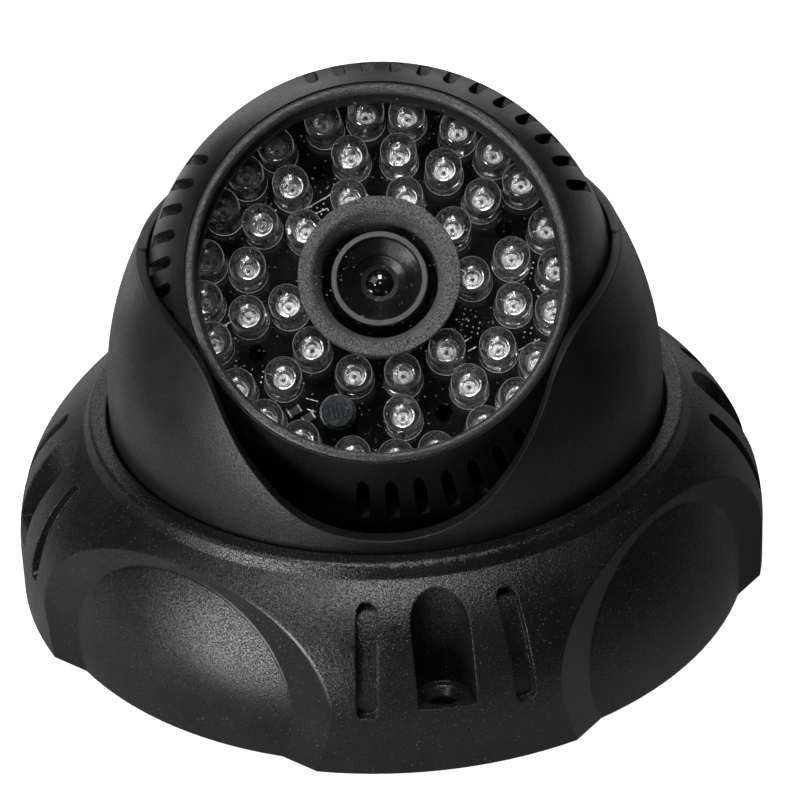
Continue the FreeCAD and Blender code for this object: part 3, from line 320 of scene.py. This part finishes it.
MATERIALS = {
    "base_black": plastic("base_black", 0.009, 0.26, 0.20, 0.058, edge_mm=0.35, speck=0.40, sparkle=0.85,
                          flats=True),
    "shell_black": plastic("shell_black", 0.009, 0.37, 0.22, 0.030, edge_mm=0.45, speck=0.10,
                           sparkle=0.45),
    "ball_black": plastic("ball_black", 0.008, 0.36, 0.22, 0.022, edge_mm=0.15, speck=0.05,
                          sparkle=0.45),
    "bezel_black": plastic("bezel_black", 0.030, 0.40, 0.26, 0.10, edge_mm=0.15, specular=0.8,
                           sparkle=0.75),
    "plate_black": plastic("plate_black", 0.02, 0.55, 0.35, 0.03),
    "rubber_black": rubber("rubber_black"),
    "foam_black": foam("foam_black"),
    "cable_black": rubber("cable_black", 0.018, 0.5),
    "screw_steel": metal("screw_steel", grey(0.62), 0.28),
    "window_clear": window(),
    "lens_clear": coated_lens("lens_clear"),
    "lamp_clear": clear("lamp_clear", 1.5, grey(0.97), haze=0.12, rim=0.9),
    "lead_frame": metal("lead_frame", grey(0.72), 0.15, 0.35, 0.006),
    "cup_silver": cup_with_painted_glow("cup_silver"),
    "sensor_cell": sensor_face("sensor_cell"),
    "chip_black": plastic("chip_black", 0.03, 0.4, 0.2, 0.01),
    "board_black": board("board_black", (0.006, 0.006, 0.0065, 1), 0.14),
    "board_green": board("board_green", (0.01, 0.09, 0.035, 1), 0.3),
    "pillar_brass": metal("pillar_brass", (0.75, 0.55, 0.25, 1), 0.25),
    "lens_black": plastic("lens_black", 0.006, 0.32, 0.15, 0.003),
    "lens_rim": plastic("lens_rim", 0.10, 0.50, 0.10, 0.010, specular=0.8),
    "bond_pad": metal("bond_pad", (0.9, 0.86, 0.78, 1), 0.2),
    "solder": metal("solder", grey(0.8), 0.3, 0.2, 0.01),
    "track": rubber("sensor_track", 0.004, 0.4),
}


def cad_slots():
    """Gives each CAD node the finish of the record's material slot."""
    record = frame["record"]
    found = {}
    for part in record.get("subparts") or []:
        slot_name = part.get("material") or part.get("material_slot")
        for node in part.get("nodes") or [part.get("node") or part.get("name")]:
            found[node] = slot_name
    return found


slots = cad_slots()
for name, thing in nodes.items():
    slot_name = slots.get(name)
    if slot_name in MATERIALS:
        thing.data.materials.clear()
        thing.data.materials.append(MATERIALS[slot_name])


# ------------------------------------------------------------------ mesh building
class Piece:
    """Vertices and faces gathered for one named piece."""

    def __init__(self):
        self.verts = []
        self.faces = []

    def add(self, shape, matrix=None):
        verts, faces = shape
        first = len(self.verts)
        for vert in verts:
            self.verts.append(tuple(matrix @ Vector(vert)) if matrix else vert)
        self.faces.extend(tuple(first + index for index in face) for face in faces)

    def make(self, name, body, slot_name, material, stands_for=(), sharp=35.0):
        mesh = bpy.data.meshes.new(name)
        mesh.from_pydata(self.verts, [], self.faces)
        mesh.transform(BALL)
        mesh.validate()
        mesh.update()
        mesh.shade_smooth()
        mesh.set_sharp_from_angle(angle=math.radians(sharp))
        mesh.materials.append(material)
        made = bpy.data.objects.new(name, mesh)
        scene.collection.objects.link(made)
        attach(made, body)
        if stands_for:
            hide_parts(*stands_for)
        return made


def lathe(profile, segments=48, closed=False):
    """Turns (radius, height) pairs about Z; outside runs upwards."""
    verts, faces, rings = [], [], []
    for radius, height in profile:
        if radius < 1e-6:
            rings.append([len(verts)])
            verts.append((0.0, 0.0, height))
            continue
        rings.append(list(range(len(verts), len(verts) + segments)))
        for k in range(segments):
            angle = 2 * math.pi * k / segments
            verts.append((radius * math.cos(angle), radius * math.sin(angle), height))
    pairs = list(zip(rings[:-1], rings[1:]))
    if closed:
        pairs.append((rings[-1], rings[0]))
    for low, top in pairs:
        for k in range(segments):
            after = (k + 1) % segments
            if len(low) == 1 and len(top) == 1:
                continue
            if len(low) == 1:
                faces.append((low[0], top[after], top[k]))
            elif len(top) == 1:
                faces.append((low[k], low[after], top[0]))
            else:
                faces.append((low[k], low[after], top[after], top[k]))
    return verts, faces


def arc(radius, centre_z, start, stop, steps):
    """Points on an arc about the axis in the (radius, height) plane, angles in degrees."""
    points = []
    for k in range(steps + 1):
        angle = math.radians(start + (stop - start) * k / steps)
        points.append((radius * math.cos(angle), centre_z + radius * math.sin(angle)))
    return points


def block(length, width, height, chamfer=0.0):
    """A block standing on its base, centred in X and Y, with chamfered top edges."""
    x, y, c = length / 2, width / 2, chamfer
    if not c:
        levels = ((x, y, 0), (x, y, height))
    else:
        levels = ((x, y, 0), (x, y, height - c), (x - c, y - c, height))
    corners = ((-1, -1), (1, -1), (1, 1), (-1, 1))
    verts = [(sx * a, sy * b, z) for a, b, z in levels for sx, sy in corners]
    rings = [tuple(range(4 * n, 4 * n + 4)) for n in range(len(levels))]
    faces = [tuple(reversed(rings[0])), rings[-1]]
    for low, top in zip(rings[:-1], rings[1:]):
        for k in range(4):
            after = (k + 1) % 4
            faces.append((low[k], low[after], top[after], top[k]))
    return verts, faces


def tube(points, radius, sides=8, flat=1.0):
    """A round or flattened wire through points."""
    points = [Vector(p) for p in points]
    verts, faces = [], []
    normal = Vector((0, 0, 1))
    for number, point in enumerate(points):
        ahead = points[min(number + 1, len(points) - 1)] - points[max(number - 1, 0)]
        ahead.normalize()
        if abs(ahead.dot(normal)) > 0.95:
            normal = Vector((1, 0, 0))
        across = ahead.cross(normal).normalized()
        lift = across.cross(ahead).normalized()
        for k in range(sides):
            angle = 2 * math.pi * k / sides
            verts.append(tuple(point + across * (radius * math.cos(angle))
                               + lift * (radius * flat * math.sin(angle))))
    for number in range(len(points) - 1):
        for k in range(sides):
            after = (k + 1) % sides
            a, b = number * sides, (number + 1) * sides
            faces.append((a + after, a + k, b + k, b + after))
    faces.append(tuple(range(sides)))
    faces.append(tuple(reversed(range(len(verts) - sides, len(verts)))))
    return verts, faces


def turn_z(degrees):
    return Matrix.Rotation(math.radians(degrees), 4, "Z")


def spot(radius, degrees, height=0.0):
    angle = math.radians(degrees)
    return Vector((radius * math.cos(angle), radius * math.sin(angle), height))


# ------------------------------------------------------------------ lamp board
BOARD_TOP = 6.1
LAMP_SEAT = BOARD_TOP + 0.03
LAMP_RAD, LAMP_FLANGE, LAMP_HIGH = 2.5, 2.78, 8.6
SENSOR_ANGLE, MIDDLE_RING = 249.8, 18.6
lamps = [(24.3, 2.9 + 45 * group + 13.8 * step) for group in range(8) for step in (-1, 0, 1)]
for quadrant in range(4):
    offsets = (-28, 28) if quadrant == 2 else (-30.6, -10.2, 10.2, 30.6)
    lamps += [(MIDDLE_RING, 69.8 + 90 * quadrant + offset) for offset in offsets]
for centre, pitch in ((72.3, 34.4), (251.7, 30.5)):
    lamps += [(12.9, centre + pitch * step) for step in (-2, -1, 0, 1, 2)]

dice = random.Random(7)
domes, cups, posts, dies, wires = Piece(), Piece(), Piece(), Piece(), Piece()
dome_shape = lathe(
    [(0, 0), (LAMP_FLANGE - 0.08, 0), (LAMP_FLANGE, 0.08), (LAMP_FLANGE, 0.9), (LAMP_FLANGE - 0.08, 1.0),
     (LAMP_RAD + 0.06, 1.0), (LAMP_RAD, 1.08)]
    + arc(LAMP_RAD, LAMP_HIGH - LAMP_RAD, 0, 88, 14) + [(0, LAMP_HIGH)], 48)
CUP = 4.35     # height of the reflector cup's floor in a lamp
cup_shape = lathe(
    [(0, CUP - 0.62), (0.50, CUP - 0.62), (0.55, CUP - 0.22), (0.80, CUP - 0.07), (0.86, CUP + 0.52),
     (0.82, CUP + 0.57), (0.74, CUP + 0.57), (0.68, CUP + 0.50), (0.56, CUP + 0.36), (0.53, CUP + 0.29),
     (0.43, CUP + 0.20), (0.40, CUP + 0.14), (0.32, CUP + 0.07), (0.28, CUP), (0, CUP)], 32)
floor_shape = lathe([(0.265, CUP + 0.004), (0.33, CUP + 0.10), (0.29, CUP + 0.11), (0.23, CUP + 0.02),
                     (0, CUP + 0.02)], 24)
post_shape = block(0.5, 0.5, CUP - 0.64)
flag_shape = block(0.62, 0.5, 0.6, 0.12)
thin_shape = block(0.4, 0.45, CUP - 0.4)
die_shape = block(0.20, 0.20, 0.12, 0.02)
pad_shape = lathe([(0.05, CUP + 0.135), (0.05, CUP + 0.155), (0.035, CUP + 0.162), (0, CUP + 0.162)], 10)
wire_shape = tube([(0.02, 0, CUP + 0.15), (0.1, 0, CUP + 0.5), (0.5, 0, CUP + 0.9), (1.1, 0, CUP + 0.7),
                   (1.5, 0, CUP + 0.1)], 0.018, 5)
for ring, angle in lamps:
    lean = Matrix.Rotation(math.radians(dice.uniform(-2.2, 2.2)), 4, "X") @ Matrix.Rotation(
        math.radians(dice.uniform(-2.2, 2.2)), 4, "Y")
    place = Matrix.Translation(spot(ring, angle, LAMP_SEAT)) @ lean @ turn_z(dice.uniform(-180, 180))
    domes.add(dome_shape, place)
    posts.add(cup_shape, place)
    cups.add(floor_shape, place)
    posts.add(post_shape, place @ Matrix.Translation((-0.1, 0, 0.05)))
    posts.add(thin_shape, place @ Matrix.Translation((1.5, 0, 0.05)))
    posts.add(flag_shape, place @ Matrix.Translation((1.45, 0, CUP - 0.5)))
    posts.add(flag_shape, place @ Matrix.Translation((-0.75, 0, CUP - 1.3)))
    dies.add(die_shape, place @ Matrix.Translation((0, 0, CUP + 0.02)))
    wires.add(wire_shape, place)
    wires.add(pad_shape, place)
domes.make("lamp_domes", "ball", "lamp_clear", MATERIALS["lamp_clear"], ["led_domes"], 50)
cups.make("lamp_cup_floors", "ball", "lead_frame", MATERIALS["cup_silver"])
posts.make("lamp_lead_frames", "ball", "lead_frame", MATERIALS["lead_frame"], ["led_frames"])
dies.make("lamp_dies", "ball", "chip_black", MATERIALS["chip_black"])
wires.make("lamp_bond_wires", "ball", "lead_frame", MATERIALS["bond_pad"])

# Plated dots and a few tracks on the board's face.
POST_RING, POST_FIRST = 19.25, 24.8
POST_HOLES = [spot(POST_RING, POST_FIRST + 90 * k) for k in range(4)]
lamp_spots = [spot(ring, angle) for ring, angle in lamps]
sensor_spot = spot(MIDDLE_RING, SENSOR_ANGLE)


FOAM_EDGE, BOARD_EDGE = 11.3, 26.6
SENSOR_ROOM, HOLE_ROOM, LAMP_ROOM = 3.4, 2.1, 2.9


def clear_of(point, gap):
    """True where nothing stands on the board within a gap of the point."""
    if point.length < FOAM_EDGE or point.length > BOARD_EDGE:
        return False
    if (point - sensor_spot).length < SENSOR_ROOM + gap:
        return False
    if any((point - hole).length < HOLE_ROOM + gap for hole in POST_HOLES):
        return False
    return all((point - lamp).length > LAMP_ROOM + gap for lamp in lamp_spots)


copper = Piece()
dot_shape = lathe([(0.13, 0.0), (0.11, 0.04), (0.06, 0.06), (0, 0.07)], 8)
patches = [(Vector((x, y, 0)), 2.6) for x, y in (
    (20.9, -4.3), (20.1, 0.2), (11.1, -5.2), (-4.8, -15.1), (-5.9, 14.0), (-16.2, 12.3), (-18.5, -10.4))]
patches += [(spot(dice.uniform(12, 26), dice.uniform(0, 360)), dice.uniform(1.4, 2.8))
            for _ in range(14)]
PITCH, GRID_TURN, GRID_HALF = 0.80, -14, 34
for row in range(-GRID_HALF, GRID_HALF + 1):
    for column in range(-GRID_HALF, GRID_HALF + 1):
        point = turn_z(GRID_TURN) @ Vector((column * PITCH, row * PITCH * 0.95, 0))
        if not clear_of(point, 0.15) or dice.random() < 0.25:
            continue
        if any((point - middle).length < reach for middle, reach in patches):
            copper.add(dot_shape, Matrix.Translation(point + Vector((0, 0, BOARD_TOP))))
TRACKS = (((-9.9, 12.3), (-6.4, 14.2)), ((-8.95, 11.4), (-6.95, 12.2)), ((18.7, -9.1), (21.8, -7.6)),
          ((11.8, -8.9), (13.0, -8.3)), ((11.2, -7.6), (12.0, -7.15)), ((-10.9, -14.65), (-9.2, -15.2)),
          ((-10.8, -16.2), (-9.6, -16.6)), ((-20.4, 4.8), (-17.6, 6.2)), ((-4.0, 22.0), (-1.2, 23.4)),
          ((15.0, 12.6), (17.4, 13.8)), ((4.2, -22.6), (7.0, -21.3)), ((-23.0, -4.4), (-20.8, -3.4)))
for start, stop in TRACKS:
    line = [Vector((start[0], start[1], BOARD_TOP)), Vector((stop[0], stop[1], BOARD_TOP))]
    copper.add(tube([line[0], line[0].lerp(line[1], 0.5), line[1]], 0.08, 8, 0.35))
copper.make("board_plating", "ball", "lead_frame", MATERIALS["solder"])

# Two surface-mount parts beside the light sensor.
chips, pads = Piece(), Piece()
CHIP_LENGTH, CHIP_TURN = 1.9, 30
for x, y in ((-12.5, -16.5), (-10.6, -17.5)):
    place = Matrix.Translation((x, y, BOARD_TOP + 0.03)) @ turn_z(CHIP_TURN)
    chips.add(block(CHIP_LENGTH * 0.62, CHIP_LENGTH * 0.6, 0.7, 0.06), place)
    for way in (-1, 1):
        pads.add(block(CHIP_LENGTH * 0.2, CHIP_LENGTH * 0.62, 0.66, 0.08),
                 place @ Matrix.Translation((way * CHIP_LENGTH * 0.41, 0, 0)))
chips.make("board_chips", "ball", "chip_black", MATERIALS["chip_black"], ["led_board_chips"])
pads.make("board_chip_ends", "ball", "lead_frame", MATERIALS["solder"])

# Light sensor: black sleeve, resin face over a winding track.
face_high = LAMP_SEAT + 4.9
at_sensor = Matrix.Translation(sensor_spot)
cell, track = Piece(), Piece()
cell.add(lathe([(0, LAMP_SEAT), (1.2, LAMP_SEAT), (1.2, LAMP_SEAT + 2.9), (2.5, LAMP_SEAT + 2.9),
                (2.5, face_high - 0.7), (2.2, face_high - 0.65), (2.2, face_high - 0.1),
                (2.1, face_high), (0, face_high)], 48), at_sensor)
cell.make("light_sensor_face", "ball", "sensor_cell", MATERIALS["sensor_cell"], ["light_sensor_cell"])
LEG_PITCH, LEG_HALF = 0.6, 1.15
path_points = []
for number in range(5):
    x = -1.2 + LEG_PITCH * number
    ends = (-LEG_HALF, LEG_HALF) if number % 2 == 0 else (LEG_HALF, -LEG_HALF)
    path_points += [(x, ends[0] * 0.85, 0), (x, ends[0] * 0.4, 0), (x, ends[1] * 0.4, 0),
                    (x, ends[1] * 0.85, 0)]
track.add(tube(path_points, 0.15, 6, 0.35),
          at_sensor @ Matrix.Translation((0, 0, face_high)) @ turn_z(12))
track.make("light_sensor_track", "ball", "chip_black", MATERIALS["track"])

# ------------------------------------------------------------------ lens barrel
LENS_FRONT, LENS_HEAD_LOW, LENS_LOW = 15.3, 5.4, -4.6
outside = [(4.2, LENS_LOW), (6.0, LENS_LOW), (6.0, LENS_HEAD_LOW), (6.4, LENS_HEAD_LOW),
           (6.7, LENS_HEAD_LOW + 0.3), (6.7, LENS_FRONT - 0.45), (6.66, LENS_FRONT - 0.3),
           (6.58, LENS_FRONT - 0.2)]
funnel = [(5.76, LENS_FRONT - 0.26), (5.68, LENS_FRONT - 0.75), (4.9, LENS_FRONT - 1.28),
          (3.86, LENS_FRONT - 1.98), (3.74, LENS_FRONT - 2.1), (3.72, LENS_FRONT - 2.42),
          (3.3, LENS_FRONT - 2.7), (2.62, LENS_FRONT - 3.06), (2.58, LENS_FRONT - 3.16),
          (2.30, LENS_FRONT - 3.18), (2.24, LENS_FRONT - 3.27), (1.95, LENS_FRONT - 3.29),
          (1.9, LENS_FRONT - 3.44)]
inside = [(2.9, LENS_FRONT - 3.86), (2.9, LENS_FRONT - 7.4), (4.2, LENS_FRONT - 7.4)]
barrel, face_ring = Piece(), Piece()
ring_seat = [(6.5, LENS_FRONT - 0.22), (5.86, LENS_FRONT - 0.22)]
barrel.add(lathe(outside + ring_seat + funnel + inside, 96, True))
barrel.make("lens_barrel_turned", "lens", "lens_black", MATERIALS["lens_black"], ["lens_barrel"], 30)
face_ring.add(lathe([
    (6.52, LENS_FRONT - 0.215), (6.60, LENS_FRONT - 0.14), (6.52, LENS_FRONT - 0.04),
    (5.92, LENS_FRONT - 0.04), (5.85, LENS_FRONT - 0.14), (5.90, LENS_FRONT - 0.215)], 96, True))
face_ring.make("lens_face_ring", "lens", "lens_black", MATERIALS["lens_rim"])

# Foam light shield: its inner edge falls away steeply from the window.
foam_ring = Piece()
foam_ring.add(lathe([
    (8.0, 6.2), (9.6, 6.2), (9.6, 15.3), (11.0, 15.75), (11.1, 15.85), (11.1, 17.17), (11.02, 17.25),
    (9.55, 17.25), (9.3, 17.15), (8.95, 16.6), (8.4, 15.3), (8.1, 14.2), (8.0, 13.0)], 96, True))
foam_ring.make("lens_foam_ring", "ball", "foam_black", MATERIALS["foam_black"], ["lens_shield"], 40)

# ------------------------------------------------------------------ floor, light and camera
floor_mesh = bpy.data.meshes.new("floor")
floor_half = 6.0
floor_mesh.from_pydata([(-floor_half, -floor_half, 0), (floor_half, -floor_half, 0),
                        (floor_half, floor_half, 0), (-floor_half, floor_half, 0)], [], [(0, 1, 2, 3)])
floor = bpy.data.objects.new("floor", floor_mesh)
scene.collection.objects.link(floor)
floor.location.z = -0.0002
s = Shader("floor_white")
paint = s.node("BsdfDiffuse", {"Color": grey(0.6)}).outputs[0]
glow = s.node("Emission", {"Color": grey(1.0), "Strength": 0.95}).outputs[0]
where = s.node("SeparateXYZ", {0: s.coords})


def band(axis, low, high, soft=0.02):
    """1 between two places along an axis of the floor, fading out over a soft edge."""
    place = where.outputs[axis]
    rise = s.remap(place, low - soft, low + soft, 0.0, 1.0)
    fall = s.remap(place, high - soft, high + soft, 1.0, 0.0)
    return s.math("MULTIPLY", rise, fall)


# White cards lying round the object, seen only by the object: X from, to, Y from, to, and strength.
CARDS = (
    (-0.06, 0.06, -0.12, -0.02, 0.30), (-0.14, -0.06, -0.12, 0.12, 0.45),
    (-0.14, -0.06, -0.30, -0.12, 8.0), (-0.30, -0.14, -0.30, -0.12, 4.0),
    (-0.30, -0.06, 0.12, 0.80, 0.70), (0.06, 0.14, -0.12, 0.12, 0.14),
    (0.06, 0.60, 0.12, 0.80, 0.40))
shine = 0.02
for left, right_end, near, far, strength in CARDS:
    card = s.math("MULTIPLY", band("X", left, right_end), band("Y", near, far))
    shine = s.math("ADD", shine, s.math("MULTIPLY", card, strength))
dim_glow = s.node("Emission", {"Color": grey(1.0), "Strength": shine}).outputs[0]
camera_ray = s.node("LightPath").outputs["Is Camera Ray"]
bright = s.node("AddShader", {0: paint, 1: glow}).outputs[0]
floor_shader = s.node("MixShader", {0: camera_ray, 1: dim_glow, 2: bright}).outputs[0]
floor_mesh.materials.append(s.finish(floor_shader))

world = bpy.data.worlds.new("studio")
scene.world = world
world.use_nodes = True
tree = world.node_tree
tree.nodes.clear()
out = tree.nodes.new("ShaderNodeOutputWorld")
path = tree.nodes.new("ShaderNodeLightPath")
seen = tree.nodes.new("ShaderNodeBackground")
seen.inputs[0].default_value = grey(1.0)
seen.inputs[1].default_value = 1.0
around = tree.nodes.new("ShaderNodeBackground")
around.inputs[0].default_value = grey(1.0)
around.inputs[1].default_value = 0.015
mix = tree.nodes.new("ShaderNodeMixShader")
tree.links.new(path.outputs["Is Camera Ray"], mix.inputs[0])
tree.links.new(around.outputs[0], mix.inputs[1])
tree.links.new(seen.outputs[0], mix.inputs[2])
tree.links.new(mix.outputs[0], out.inputs[0])


LIGHT_AIM = Vector((0, 0, 0.03))


def softbox(name, azimuth, elevation, distance, width, height, power):
    """A rectangular light facing the object: azimuth 0 is in front of it, and 90 on its +X side."""
    a, e = math.radians(azimuth), math.radians(elevation)
    back = Vector((math.sin(a) * math.cos(e), -math.cos(a) * math.cos(e), math.sin(e)))
    data = bpy.data.lights.new(name, "AREA")
    data.shape = "RECTANGLE"
    data.size = width
    data.size_y = height
    data.energy = power
    lamp = bpy.data.objects.new(name, data)
    scene.collection.objects.link(lamp)
    lamp.location = LIGHT_AIM + back * distance
    lamp.rotation_mode = "QUATERNION"
    lamp.rotation_quaternion = (-back).to_track_quat("-Z", "Y")
    return lamp


softbox("key_top", 0, 78, 0.9, 0.20, 0.28, 3.2)
softbox("front_left_low", -45, 8, 1.0, 0.40, 0.40, 7.0)
softbox("left_high", -50, 60, 1.0, 0.45, 0.45, 1.3)
softbox("right_high", 45, 70, 1.0, 0.40, 0.40, 0.12)
softbox("back_left", -165, 18, 1.0, 0.40, 0.60, 0.7)
softbox("back_right", 165, 16, 1.0, 0.40, 0.60, 0.6)
softbox("back_high", 180, 48, 1.0, 0.50, 0.50, 0.5)
softbox("spark", -28, 44, 0.9, 0.05, 0.05, 0.40)

camera_data = bpy.data.cameras.new("camera")
camera = bpy.data.objects.new("camera", camera_data)
scene.collection.objects.link(camera)
scene.camera = camera
# The camera was fitted to the photo's outlines.
CAM_DISTANCE = 0.5333
camera_data.lens = 167.56
camera_data.sensor_width = 36
camera_data.clip_start, camera_data.clip_end = 0.01, 50
CAM_AZIMUTH, CAM_ELEVATION, CAM_ROLL = math.radians(0.58), math.radians(32.27), math.radians(-2.49)
back = Vector((math.sin(CAM_AZIMUTH) * math.cos(CAM_ELEVATION),
               -math.cos(CAM_AZIMUTH) * math.cos(CAM_ELEVATION), math.sin(CAM_ELEVATION)))
aim = Vector((1.98, 0.04, 25.28)) * MM
right = (-back).cross(Vector((0, 0, 1))).normalized()
up = right.cross(-back)
side = math.cos(CAM_ROLL) * right + math.sin(CAM_ROLL) * up
high = -math.sin(CAM_ROLL) * right + math.cos(CAM_ROLL) * up
camera.matrix_world = Matrix((
    (side.x, high.x, back.x, 0), (side.y, high.y, back.y, 0), (side.z, high.z, back.z, 0), (0, 0, 0, 1)))
camera.location = aim + back * CAM_DISTANCE

scene.view_settings.view_transform = "Standard"
scene.view_settings.look = "None"
